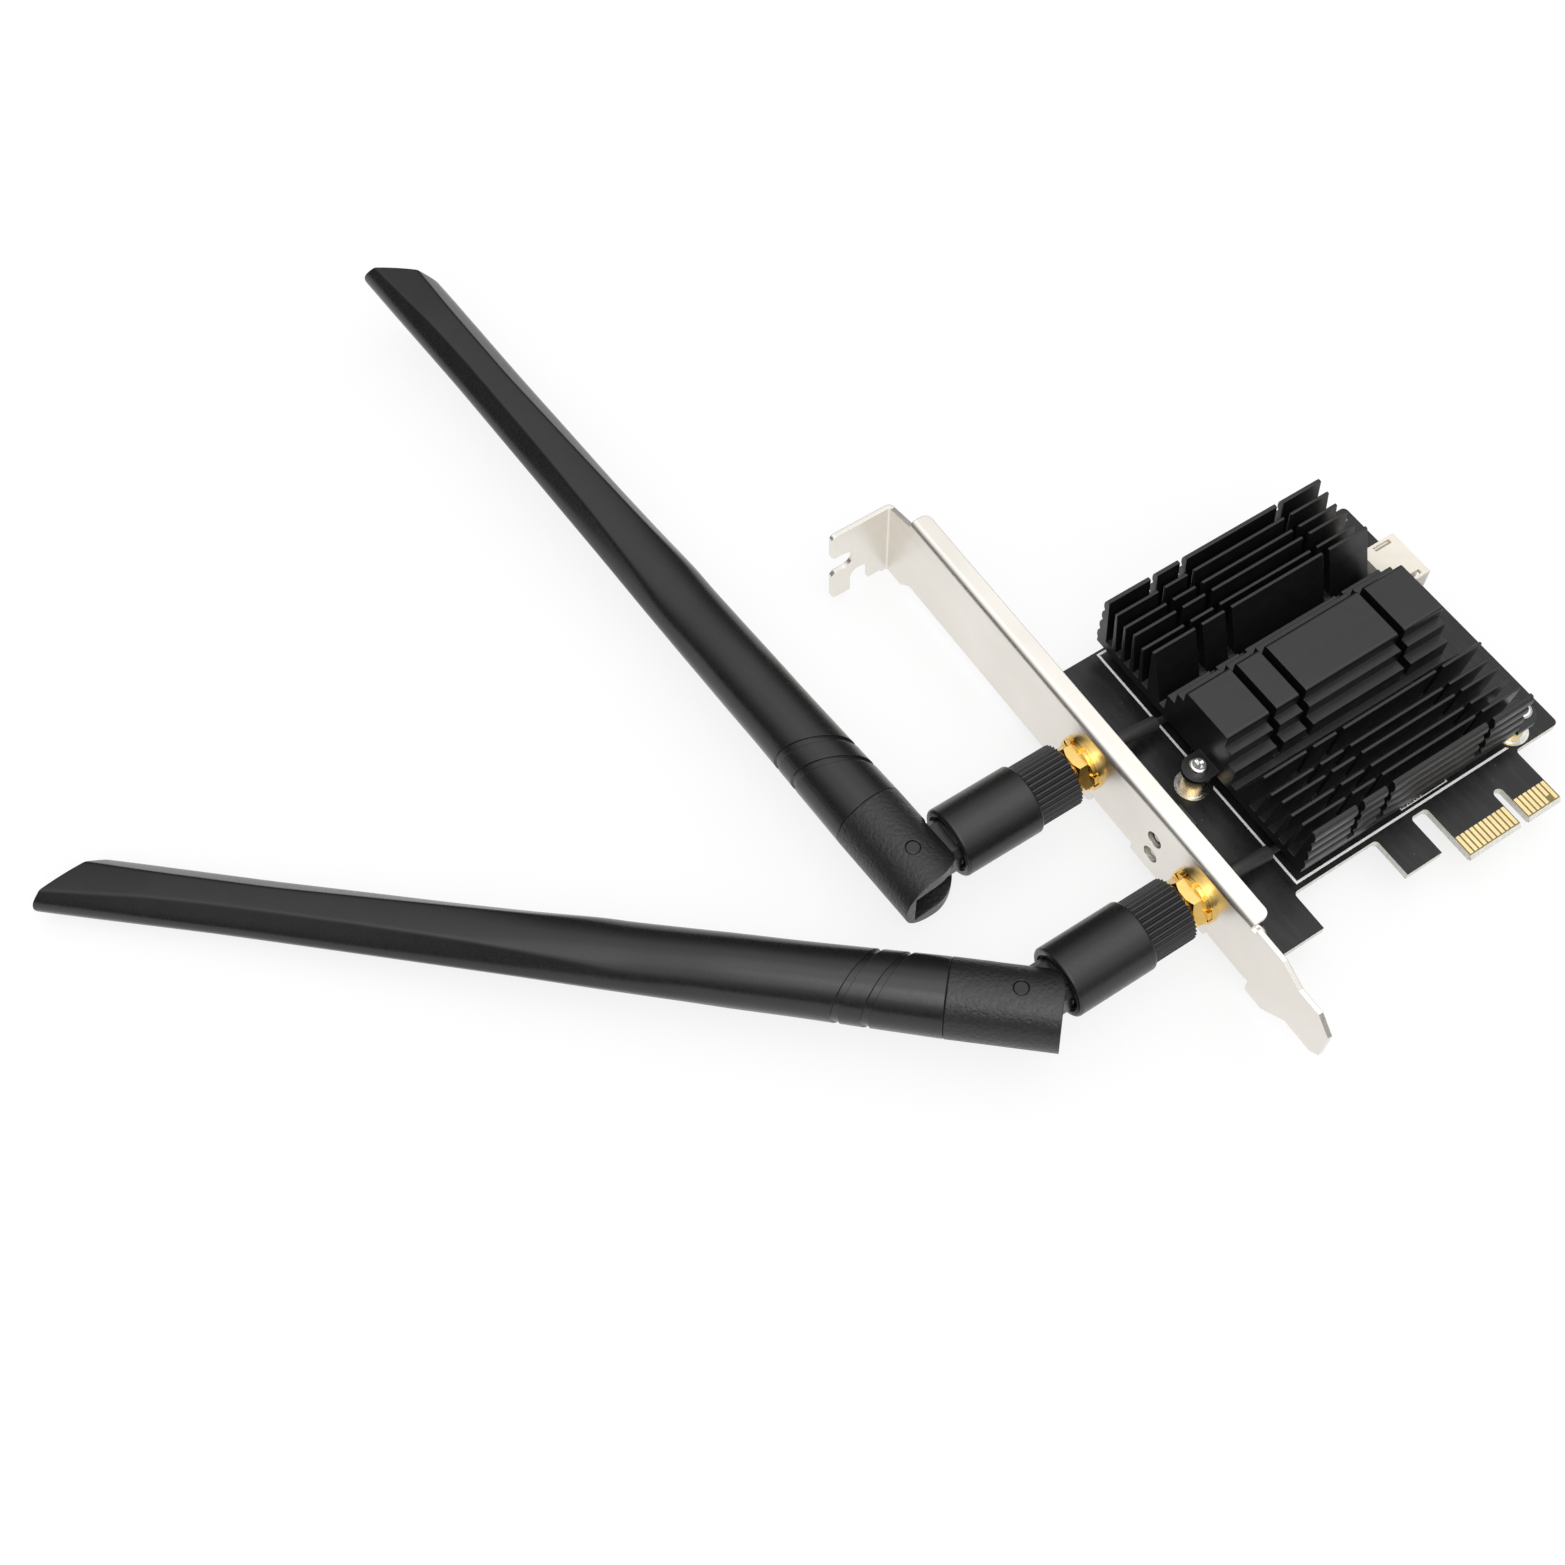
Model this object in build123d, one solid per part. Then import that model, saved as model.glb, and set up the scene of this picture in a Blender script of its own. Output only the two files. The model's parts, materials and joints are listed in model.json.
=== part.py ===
"""Wireless network card for a computer expansion slot, with two swivel antennas.

Frame, in millimetres: X runs from the bracket into the card, Y along the bracket
towards its screw tab, and Z up from the component side of the board.  The origin
lies on the bracket's outer face, where the card-edge line meets the component side.
Each antenna is modelled along its own X from its hinge pin and then folded into place.
"""
import os
from math import atan2, cos, degrees, hypot, radians

from build123d import *

# Circuit board
BOARD_T = 1.57
BOARD_X0 = 1.5
BOARD_REAR = 11.0
BOARD_Y0 = 11.3
BOARD_Y1 = 66.9
FOOT_X1 = 15.9
FOOT_Y0 = 3.7
HOOK_X0 = 33.7
HOOK_X1 = 41.2
HOOK_Y0 = 3.5
INNER_R = 0.8
REAR_R = 1.0
KEY_X = 56.8
KEY_W = 1.9
KEY_TOP = 7.5
EDGE_BEVEL = 0.5
TOOLING_INSET_X = 1.8
TOOLING_INSET_Y = 2.3
TOOLING_HOLE_D = 0.8

# Card-edge contacts
PITCH = 1.0
KEY_STEP = 3.0
LONG_ROW = 11
SHORT_ROW = 7
CONTACT_W = 0.7
CONTACT_T = 0.05
CONTACT_Y0 = 0.7
CONTACT_Y1 = 4.4
CONTACT_MARGIN = 0.6
PRESENCE_INDEX = 5
PRESENCE_CUT = 1.1

# Bracket, one folded sheet
SHEET_T = 0.86
BEND_R = 0.4
BRACKET_TOP = 14.2
BRACKET_LOW = -4.2
FLANGE_W = 3.7
FLANGE_Y0 = 6.7
FLANGE_Y1 = 100.0
TAB_Y = 107.1
TAB_L = 12.3
TAB_LOW = -6.8
TAB_W = 18.4
TAB_SLOT_W = 4.4
TAB_SLOT_Z = 3.0
TAB_SLOT_DEPTH = 4.6
TAB_NOTCH_W = 4.0
TAB_NOTCH_X = -6.3
TAB_NOTCH_TOP = -1.2
TAB_LUG_RISE = 0.6
TAB_LUG_END = -1.3
SHOULDER_Y0 = 99.2
SHOULDER_Y1 = 101.9
TONGUE_TIP = -13.0
TONGUE_LOW = 0.0
TONGUE_TOP = 11.6
TONGUE_Y0 = -5.2
TONGUE_Y1 = -0.6
TONGUE_CHAMFER = 1.6
RELIEF_RISE = 1.2
RELIEF_Y0 = 4.0
RELIEF_Y1 = 46.0
EAR_W = 9.0
EAR_L = 8.6
EAR_YS = (9.0, 39.4)
EAR_SCREW_X = 5.2
FOLD_SLIT = 1.0
FLANGE_ROUND = 1.4
TAB_ROUND = 0.9
TAB_SLOT_FLARE = 0.7

# Small screws: thread, head, head height
BRACKET_SCREW_D = 2.5
BRACKET_HEAD_D = 4.5
BRACKET_HEAD_H = 1.7
SINK_SCREW_D = 2.0
SINK_HEAD_D = 3.3
SINK_HEAD_H = 1.2
SINK_SCREW_L = 5.0
MODULE_SCREW_D = 2.0
MODULE_HEAD_D = 4.4
MODULE_HEAD_H = 0.9
RECESS_SHARE = 0.55
RECESS_DEPTH_SHARE = 0.5
HEAD_ROUND_SHARE = 0.45
RECESS_W = 0.55

# Heatsink, an extrusion along X with three saw cuts across it
SINK_X0 = 17.3
SINK_L = 46.5
SINK_YC = 39.8
SINK_W = 53.7
SINK_Z0 = 4.0
SINK_BASE_T = 2.0
SINK_H = 12.5
WALL_T = 2.4
WALL_TIP_T = 0.7
WALL_FLARE = 0.4
RIPPLE_OUT = 0.4
RIPPLE_HALF = 1.1
RIPPLE_PITCH = 2.9
RIPPLE_COUNT = 4
FIN_T = 1.0
FIN_TIP_T = 0.5
FIN_PITCH = 2.44
FIN_LEAN = 1.4
FIN_DROPS = (0.85, 1.6, 0.9, 2.1, 0.0)
CHANNEL_W = 0.6
PLATEAU_HALF = 5.4
PLATEAU_H = 12.0
PLATEAU_ROUND = 0.6
LEDGE_HALVES = (7.05, 8.95)
LEDGE_HEIGHTS = (9.25, 6.2)
CUT_W = 1.5
CUT_XS = (9.6, 15.9, 37.3)
CUT_FLOOR = 2.6
SINK_EAR_D = 5.5
SINK_EAR_T = 0.95
SINK_EAR_HOLE = 2.3
STANDOFF_FRONT = 2.5
STANDOFF_FRONT_OFF = 3.3
STANDOFF_REAR = 3.1
STANDOFF_REAR_IN = 1.75
STANDOFF_D = 4.0
STANDOFF_FLANGE_D = 6.2
STANDOFF_FLANGE_H = 0.15
STANDOFF_COLLAR_D = 5.2
STANDOFF_COLLAR_H = 0.45
STANDOFF_SHANK_D = 3.2

# Radio module, its socket and its cooling pad
MODULE_X0 = 22.0
MODULE_L = 30.0
MODULE_W = 22.0
MODULE_T = 0.8
MODULE_Z0 = 1.2
MODULE_TONGUE_W = 19.8
MODULE_TONGUE_L = 3.5
MODULE_NOTCH_D = 3.5
SHIELD_L = 18.5
SHIELD_W = 19.0
SHIELD_H = 1.5
SHIELD_T = 0.2
SHIELD_ROUND = 0.8
SHIELD_X0 = 29.0
PAD_MARGIN = 0.8
SOCKET_X0 = 49.5
SOCKET_L = 8.0
SOCKET_W = 21.9
SOCKET_H = 3.2
MODULE_POST_D = 4.6
FIT = 0.05

# Internal cable header at the rear edge
HEADER_Y0 = 45.6
HEADER_PINS = 4
HEADER_PITCH = 2.0
HEADER_END = 1.95
HEADER_L = 7.6
HEADER_H = 4.8
HEADER_WALL = 0.8
HEADER_MOUTH = 6.0
HEADER_SLOT_W = 0.9
HEADER_SLOT_L = 3.7
HEADER_SLOT_END = 1.5
HEADER_SLOT_IN = 0.55
HEADER_PIN = 0.5
HEADER_TAIL = 1.5

# Status lamps behind the bracket
LAMP_Y = 29.5
LAMP_Z = 1.6
LAMP_STEP = 5.08
LAMP_D = 3.0
LAMP_HOLE_D = 3.3
LAMP_GAP = 0.3
LAMP_BODY_W = 4.4
LAMP_BODY_L = 5.2

# Coaxial jacks through the bracket
JACK_YS = (18.4, 48.3)
JACK_Z = 5.0
JACK_D = 6.35
JACK_BORE = 4.6
JACK_TIP = -10.0
JACK_HEX = 8.0
JACK_HEX_L = 2.2
JACK_FERRULE_D = 2.6
JACK_FERRULE_L = 3.6
JACK_CLEAR = 0.1
THREAD_PITCH = 0.7056
THREAD_DEPTH = 0.3
THREAD_RINGS = 2
PLAIN_WASHER_D = 10.2
PLAIN_WASHER_T = 0.6
WASHER_D = 9.6
WASHER_T = 0.7
WASHER_TEETH = 12
WASHER_NOTCH = 0.825
NUT_AF = 8.0
NUT_T = 2.2
NUT_CHAMFER = 0.55
CONTACT_PIN_D = 1.3
CONTACT_PIN_INSET = 1.0

# Coaxial leads from the jacks to the module
LEAD_D = 1.3
SHRINK_D = 2.6
SHRINK_X1 = 15.4
LEAD_BEND = 5.0
LEAD_LOW = 2.75
LEAD_TIP_X = 8.5
LEAD_LEVEL_X = 18.5
PLUG_D = 2.7
PLUG_H = 1.5
PLUG_X = 25.4

# Antennas
BASE_X0 = -4.4
BASE_SEAM = -12.7
BASE_END = -28.0
KNURL_D = 11.4
KNURL_RIBS = 36
KNURL_CUT = 0.42
SLEEVE_D = 12.6
SLEEVE_ROUND = 0.5
COUPLING_D = 9.0
COUPLING_END = -11.6
COUPLING_GAP = 0.3
HINGE_X = -35.2
FOLD_ANGLE = {"lower": 42.8, "upper": 86.2}
SWIVEL_ANGLE = {"lower": -5.0, "upper": 0.0}
NECK_D = 8.4
RUN_CLEAR = 0.05
NECK_WALL = 2.0
NECK_FLANGE_D = 9.8
NECK_FLANGE_L = 1.6
NECK_CAVITY_D = 10.6
NECK_AXIAL = 0.1
NECK_RECESS_D = 10.4
NECK_RECESS_L = 0.8
NECK_TONGUE_T = 7.0
NECK_TONGUE_W = 8.2
NECK_TONGUE_EDGE = 1.2
PIN_D = 2.6
PIN_RECESS = 0.15
PIN_CHAMFER = 0.2
SEAM_CHAMFER = 0.15
CAP_D = 13.2
CAP_END = 6.8
CAP_SEAM = 11.4
CAP_SLOT_T = 7.4
CAP_SLOT_CLEAR = 0.5
SPIGOT_D = 10.0
SPIGOT_L = 4.0
FEED_D = 2.4
BLADE_L = 166.4
BLADE_TIP_D = 12.4
TIP_CUT = 12.5
TIP_ROUND = 1.2
TIP_BOW = 0.25
FACET_START = 58.0
FACET_TIP_R = 3.4
BEVEL_START = 66.0
BEVEL_TIP_R = 4.65
BEVEL_ANGLE = 46.0
GROOVE_XS = (20.7, 25.6)
GROOVE_W = 1.2
GROOVE_DEPTH = 0.35
GROOVE_TILT = 26.6
POCKET_W = 7.2
POCKET_H = 3.2
POCKET_SPARE = 10.6
RADIATOR_T = 1.0
RADIATOR_L = 112.0

# White print and empty pads on the board
PRINT_W = 0.45
PRINT_REAR = 1.4
PRINT_SIDE = 0.7
PRINT_INSET = 0.5
PRINT_GAP = 0.5
PRINT_T = 0.03
PAD_ROW_X = 41.7
PAD_ROW_Y = 13.9
PAD_ROW_COUNT = 3
PAD_ROW_PITCH = 1.48
PAD_D = 0.8
PAD_LINE_W = 0.2
PAD_LINE_L = 10.2
PAD_LINE_RISE = 0.7

# Reach of a cut through everything, overshoot of a local cut, and how close counts as touching
FAR = 40.0
OVER = 1.0
NEAR = 0.01

# Places that follow from the sizes above
SINK_X1 = SINK_X0 + SINK_L
SINK_Y0 = SINK_YC - SINK_W / 2
BOARD_X1 = SINK_X1 + BOARD_REAR
STANDOFFS = (
    (SINK_X0 - STANDOFF_FRONT, SINK_YC - STANDOFF_FRONT_OFF),
    (SINK_X1 + STANDOFF_REAR, SINK_Y0 + STANDOFF_REAR_IN),
)


def block(x0, x1, y0, y1, z0, z1):
    """Box between two corners."""
    return Pos((x0 + x1) / 2, (y0 + y1) / 2, (z0 + z1) / 2) * Box(x1 - x0, y1 - y0, z1 - z0)


def rod_z(x, y, z0, z1, d):
    """Round bar along Z."""
    return Pos(x, y, (z0 + z1) / 2) * Cylinder(d / 2, z1 - z0)


def rod_x(y, z, x0, x1, d):
    """Round bar along X."""
    return Pos((x0 + x1) / 2, y, z) * Rot(0, 90, 0) * Cylinder(d / 2, abs(x1 - x0))


def outline(points):
    """Closed face through plan points."""
    return make_face(Polyline(*points, close=True))


def cross_recess(d, depth):
    """Cross-shaped driver recess, open upwards at Z = 0."""
    span = d * RECESS_SHARE
    bar = Pos(0, 0, -depth / 2) * Box(span, RECESS_W, depth)
    return bar + Rot(0, 0, 90) * bar


def pan_screw(x, y, seat, d, head_d, head_h, length):
    """Pan-head cross-recess screw whose head sits on the plane Z = seat."""
    head = Cylinder(head_d / 2, head_h, align=(Align.CENTER, Align.CENTER, Align.MIN))
    head = fillet(head.edges().sort_by(Axis.Z)[-1], head_h * HEAD_ROUND_SHARE)
    head -= Pos(0, 0, head_h) * cross_recess(head_d, head_h * RECESS_DEPTH_SHARE)
    shank = rod_z(0, 0, -length, 0, d)
    return Pos(x, y, seat) * (head + shank)


def contact_xs():
    """Contact centres along the card edge, split by the key slot."""
    first = KEY_X - KEY_STEP / 2 - (LONG_ROW - 1) * PITCH
    long_row = [first + i * PITCH for i in range(LONG_ROW)]
    short_row = [KEY_X + KEY_STEP / 2 + i * PITCH for i in range(SHORT_ROW)]
    return long_row, short_row


def circuit_board():
    """Board with bracket foot, hook and keyed card edge."""
    long_row, short_row = contact_xs()
    edge_x0 = long_row[0] - CONTACT_MARGIN
    edge_x1 = short_row[-1] + CONTACT_MARGIN
    plan = outline(
        [
            (BOARD_X0, BOARD_Y1), (BOARD_X0, FOOT_Y0), (FOOT_X1, FOOT_Y0), (FOOT_X1, BOARD_Y0),
            (HOOK_X0, BOARD_Y0), (HOOK_X0, HOOK_Y0), (HOOK_X1, HOOK_Y0), (HOOK_X1, BOARD_Y0),
            (edge_x0, BOARD_Y0), (edge_x0, 0), (edge_x1, 0), (edge_x1, BOARD_Y0),
            (BOARD_X1, BOARD_Y0), (BOARD_X1, BOARD_Y1),
        ]
    )
    inner = [
        v for v in plan.vertices()
        if abs(v.Y - BOARD_Y0) < NEAR and v.X < BOARD_X1 - REAR_R
    ]
    plan = fillet(inner, INNER_R)
    rear = [v for v in plan.vertices() if abs(v.X - BOARD_X1) < NEAR]
    plan = fillet(rear, REAR_R)
    board = extrude(plan, -BOARD_T)
    board -= block(KEY_X - KEY_W / 2, KEY_X + KEY_W / 2, -OVER, KEY_TOP - KEY_W / 2, -FAR, FAR)
    board -= rod_z(KEY_X, KEY_TOP - KEY_W / 2, -FAR, FAR, KEY_W)
    tip = [e for e in board.edges().filter_by(Axis.X) if abs(e.center().Y) < NEAR]
    return drill(chamfer(tip, EDGE_BEVEL))


def drill(board):
    """Holes for the posts, screws and header pins, and the tooling hole."""
    for x, y in STANDOFFS:
        board -= rod_z(x, y, -FAR, FAR, STANDOFF_SHANK_D)
    for y in EAR_YS:
        board -= rod_z(EAR_SCREW_X, y, -FAR, FAR, BRACKET_SCREW_D)
    board -= rod_z(BOARD_X1 - TOOLING_INSET_X, BOARD_Y1 - TOOLING_INSET_Y, -FAR, FAR, TOOLING_HOLE_D)
    for y in header_pin_ys():
        board -= block(*header_tail_x(), y - HEADER_PIN / 2, y + HEADER_PIN / 2, -FAR, FAR)
    return board


def edge_contacts(z0, z1):
    """One row of gold contacts; the presence contact is shorter."""
    long_row, short_row = contact_xs()
    presence = short_row[PRESENCE_INDEX]
    pads = []
    for x in long_row + short_row:
        y0 = CONTACT_Y0 + (PRESENCE_CUT if x == presence else 0)
        pads.append(block(x - CONTACT_W / 2, x + CONTACT_W / 2, y0, CONTACT_Y1, z0, z1))
    return Compound(pads)


def print_frame():
    """Printed frame round the heatsink, broken at the two standoffs."""
    x0 = SINK_X0
    x1 = SINK_X1 + PRINT_REAR
    y0 = SINK_Y0 - PRINT_SIDE
    y1 = BOARD_Y1 - PRINT_INSET
    frame = block(x0, x1, y0, y1, 0, PRINT_T)
    frame -= block(x0 + PRINT_W, x1 - PRINT_W, y0 + PRINT_W, y1 - PRINT_W, -PRINT_T, 2 * PRINT_T)
    for x, y in STANDOFFS:
        frame -= rod_z(x, y, -PRINT_T, 2 * PRINT_T, STANDOFF_FLANGE_D + 2 * PRINT_GAP)
    return frame


def pad_comb():
    """Printed line with ticks that parts the pads of the empty row."""
    x0 = PAD_ROW_X - PAD_ROW_PITCH / 2
    y0 = PAD_ROW_Y - PAD_LINE_RISE
    ticks = [x0 + i * PAD_ROW_PITCH for i in range(PAD_ROW_COUNT + 1)] + [x0 + PAD_LINE_L - PAD_LINE_W]
    comb = block(x0, x0 + PAD_LINE_L, y0, y0 + PAD_LINE_W, 0, PRINT_T)
    for x in ticks:
        comb += block(x, x + PAD_LINE_W, y0, PAD_ROW_Y, 0, PRINT_T)
    return comb


def board_print():
    """White print: the heatsink's frame and the outline of the pad row."""
    return Compound([*print_frame().solids(), *pad_comb().solids()])


def header_pads():
    """Row of tinned pads left empty beside the heatsink."""
    return Compound(
        [
            rod_z(PAD_ROW_X + i * PAD_ROW_PITCH, PAD_ROW_Y, 0, CONTACT_T, PAD_D)
            for i in range(PAD_ROW_COUNT)
        ]
    )


def soften(face, corner, radius):
    """Round the corner of a face that lies nearest to a point."""
    vertex = min(face.vertices(), key=lambda v: hypot(v.X - corner[0], v.Y - corner[1]))
    return fillet(vertex, radius)


def fold_profile(points, outer, inner):
    """Section of folded sheet, rounded at the outside and inside of its bend."""
    face = soften(outline(points), outer, SHEET_T + BEND_R)
    return soften(face, inner, BEND_R)


def along_y(profile, y0, y1):
    """Extrude an X-Z profile between two Y planes."""
    return extrude(Plane.XZ.offset(-y1) * profile, y1 - y0)


def bracket_face():
    """Flat of the bracket with its tongue, shoulder and lower-edge relief."""
    relief = BRACKET_LOW + RELIEF_RISE
    bend = BRACKET_TOP - SHEET_T - BEND_R
    tab_bend = TAB_Y - SHEET_T - BEND_R
    return extrude(
        Plane.YZ * outline(
            [
                (tab_bend, TAB_LOW), (SHOULDER_Y1, TAB_LOW), (SHOULDER_Y0, BRACKET_LOW),
                (RELIEF_Y1, BRACKET_LOW), (RELIEF_Y1 - RELIEF_RISE, relief),
                (RELIEF_Y0 + RELIEF_RISE, relief), (RELIEF_Y0, BRACKET_LOW),
                (TONGUE_Y1, BRACKET_LOW), (TONGUE_Y0, TONGUE_LOW),
                (TONGUE_TIP + TONGUE_CHAMFER, TONGUE_LOW),
                (TONGUE_TIP, TONGUE_LOW + TONGUE_CHAMFER),
                (TONGUE_TIP, TONGUE_TOP - 2 * TONGUE_CHAMFER),
                (TONGUE_TIP + 2 * TONGUE_CHAMFER, TONGUE_TOP),
                (TONGUE_Y0, TONGUE_TOP), (TONGUE_Y1, BRACKET_TOP),
                (FLANGE_Y0 - FOLD_SLIT, BRACKET_TOP), (FLANGE_Y0 - FOLD_SLIT, bend),
                (FLANGE_Y1, bend), (tab_bend, TAB_LOW + TAB_W),
            ]
        ),
        SHEET_T,
    )


def bracket_flange():
    """Stiffening flange folded inwards along the upper edge."""
    bend = BRACKET_TOP - SHEET_T - BEND_R
    profile = fold_profile(
        [
            (0, BRACKET_TOP), (FLANGE_W, BRACKET_TOP), (FLANGE_W, BRACKET_TOP - SHEET_T),
            (SHEET_T, BRACKET_TOP - SHEET_T), (SHEET_T, bend - SHEET_T), (0, bend - SHEET_T),
        ],
        (0, BRACKET_TOP),
        (SHEET_T, BRACKET_TOP - SHEET_T),
    )
    flange = along_y(profile, FLANGE_Y0, FLANGE_Y1)
    ends = [e for e in flange.edges().filter_by(Axis.Z) if abs(e.center().X - FLANGE_W) < NEAR]
    return fillet(ends, FLANGE_ROUND)


def bracket_tab():
    """Screw tab folded outwards, with its open slot, rounded notch and lug."""
    bend = TAB_Y - SHEET_T - BEND_R
    profile = fold_profile(
        [
            (SHEET_T, TAB_Y), (-TAB_L, TAB_Y), (-TAB_L, TAB_Y - SHEET_T),
            (0, TAB_Y - SHEET_T), (0, bend - SHEET_T), (SHEET_T, bend - SHEET_T),
        ],
        (SHEET_T, TAB_Y),
        (0, TAB_Y - SHEET_T),
    )
    tab = extrude(Plane.XY.offset(TAB_LOW) * profile, TAB_W)
    corners = [e for e in tab.edges().filter_by(Axis.Y) if abs(e.center().X + TAB_L) < NEAR]
    tab = fillet(corners, TAB_ROUND)
    root = -TAB_L + TAB_SLOT_DEPTH - TAB_SLOT_W / 2
    notch_root = TAB_NOTCH_TOP - TAB_NOTCH_W / 2
    cuts = outline(
        [
            (-TAB_L, TAB_SLOT_Z + TAB_SLOT_W / 2 + TAB_SLOT_FLARE),
            (-TAB_L + TAB_SLOT_FLARE, TAB_SLOT_Z + TAB_SLOT_W / 2), (root, TAB_SLOT_Z + TAB_SLOT_W / 2),
            (root, TAB_SLOT_Z - TAB_SLOT_W / 2), (-TAB_L + TAB_SLOT_FLARE, TAB_SLOT_Z - TAB_SLOT_W / 2),
            (-TAB_L, TAB_SLOT_Z - TAB_SLOT_W / 2 - TAB_SLOT_FLARE),
        ]
    )
    cuts += Pos(root, TAB_SLOT_Z) * Circle(TAB_SLOT_W / 2)
    cuts += Pos(TAB_NOTCH_X, (TAB_LOW + notch_root) / 2) * Rectangle(TAB_NOTCH_W, notch_root - TAB_LOW)
    cuts += Pos(TAB_NOTCH_X, notch_root) * Circle(TAB_NOTCH_W / 2)
    lug_w = TAB_LUG_END - TAB_NOTCH_X
    cuts += Pos(TAB_NOTCH_X + lug_w / 2, TAB_LOW + TAB_LUG_RISE / 2) * Rectangle(lug_w, TAB_LUG_RISE)
    return tab - along_y(cuts, TAB_Y - 2 * SHEET_T, TAB_Y + SHEET_T)


def bracket_ear(y):
    """Ear folded in from the lower edge, flat under the board."""
    top = -BOARD_T
    profile = fold_profile(
        [
            (0, top - SHEET_T), (EAR_L, top - SHEET_T), (EAR_L, top),
            (SHEET_T, top), (SHEET_T, top + 2 * BEND_R), (0, top + 2 * BEND_R),
        ],
        (0, top - SHEET_T),
        (SHEET_T, top),
    )
    ear = along_y(profile, y - EAR_W / 2, y + EAR_W / 2)
    return ear - rod_z(EAR_SCREW_X, y, -FAR, FAR, BRACKET_SCREW_D)


def bracket():
    """Folded nickel-plated bracket, pierced for the jacks and the lamps."""
    sheet = bracket_face()
    half = EAR_W / 2 + FOLD_SLIT
    for y in EAR_YS:
        sheet -= block(-OVER, SHEET_T + OVER, y - half, y + half, -FAR, -BOARD_T + BEND_R)
    sheet = sheet + bracket_flange() + bracket_tab()
    for y in EAR_YS:
        sheet += bracket_ear(y)
    for y in JACK_YS:
        sheet -= rod_x(y, JACK_Z, -OVER, SHEET_T + OVER, JACK_D + 2 * JACK_CLEAR)
    for z in lamp_zs():
        sheet -= rod_x(LAMP_Y, z, -OVER, SHEET_T + OVER, LAMP_HOLE_D)
    return sheet


def bracket_screws():
    """Screws that clamp the board onto the bracket's ears."""
    length = BOARD_T + SHEET_T
    return Compound(
        [
            pan_screw(EAR_SCREW_X, y, 0, BRACKET_SCREW_D, BRACKET_HEAD_D, BRACKET_HEAD_H, length)
            for y in EAR_YS
        ]
    )


def sink_rect(y0, y1, z0, z1):
    """Rectangle of the heatsink's section, measured from its centre line and underside."""
    return Pos((y0 + y1) / 2, (z0 + z1) / 2) * Rectangle(y1 - y0, z1 - z0)


def sink_fin(side, tip, drop):
    """One fin of the section: it leans outwards and is thinner at its tip."""
    root = tip - FIN_LEAN
    top = SINK_H - drop
    return outline(
        [
            (side * (root - FIN_T / 2), 0), (side * (root + FIN_T / 2), 0),
            (side * (tip + FIN_TIP_T / 2), top), (side * (tip - FIN_TIP_T / 2), top),
        ]
    )


def sink_fin_foot(side, tip):
    """Slope that thickens the innermost fin towards the stepped middle."""
    return outline(
        [
            (side * (LEDGE_HALVES[-1] + CHANNEL_W), 0), (side * (tip - FIN_LEAN), 0),
            (side * (tip - FIN_TIP_T / 2), SINK_H - FIN_DROPS[-1]),
        ]
    )


def sink_wall(side):
    """Outer wall of the section, flared at its foot and rippled outside."""
    half = SINK_W / 2
    foot = half + WALL_FLARE
    wall = outline(
        [
            (side * (foot - WALL_T), 0), (side * foot, 0),
            (side * half, SINK_H), (side * (half - WALL_TIP_T), SINK_H),
        ]
    )
    for i in range(RIPPLE_COUNT):
        z = SINK_H - (i + 0.5) * RIPPLE_PITCH
        y = half + WALL_FLARE * (1 - z / SINK_H)
        wall += Pos(side * y, z) * Ellipse(RIPPLE_OUT, RIPPLE_HALF)
    return wall


def sink_plateau():
    """Middle block of the section with its upper corners rounded."""
    block_face = sink_rect(-PLATEAU_HALF, PLATEAU_HALF, 0, PLATEAU_H)
    for side in (-1, 1):
        block_face = soften(block_face, (side * PLATEAU_HALF, PLATEAU_H), PLATEAU_ROUND)
    return block_face


def sink_section():
    """Section of the extrusion: base, two fin groups and a stepped middle."""
    half = SINK_W / 2
    foot = half + WALL_FLARE
    section = sink_rect(-foot, foot, 0, SINK_BASE_T)
    section += sink_plateau()
    for width, height in zip(LEDGE_HALVES, LEDGE_HEIGHTS):
        section += sink_rect(-width, width, 0, height)
    for side in (-1, 1):
        section += sink_wall(side)
        for i, drop in enumerate(FIN_DROPS, start=1):
            tip = half - WALL_TIP_T / 2 - i * FIN_PITCH
            section += sink_fin(side, tip, drop)
        section += sink_fin_foot(side, tip)
    return section


def heatsink():
    """Black finned extrusion with cross cuts and two screw ears."""
    at = Plane(origin=(SINK_X0, SINK_YC, SINK_Z0), x_dir=(0, 1, 0), z_dir=(1, 0, 0))
    sink = extrude(at * sink_section(), SINK_L)
    for x in CUT_XS:
        x0 = SINK_X0 + x - CUT_W / 2
        sink -= block(
            x0, x0 + CUT_W, SINK_YC - SINK_W, SINK_YC + SINK_W, SINK_Z0 + CUT_FLOOR, SINK_Z0 + SINK_H + OVER
        )
    half = SINK_EAR_D / 2
    for x, y in STANDOFFS:
        edge = SINK_X0 if x < SINK_X0 else SINK_X1
        sink += rod_z(x, y, ear_low(), ear_top(), SINK_EAR_D)
        sink += block(min(x, edge), max(x, edge), y - half, y + half, ear_low(), ear_top())
        sink -= rod_z(x, y, SINK_Z0 - OVER, ear_top(), SINK_EAR_HOLE)
    return sink


def ear_top():
    """Height of the heatsink's ears, flush with its base."""
    return SINK_Z0 + SINK_BASE_T


def ear_low():
    return ear_top() - SINK_EAR_T


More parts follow.
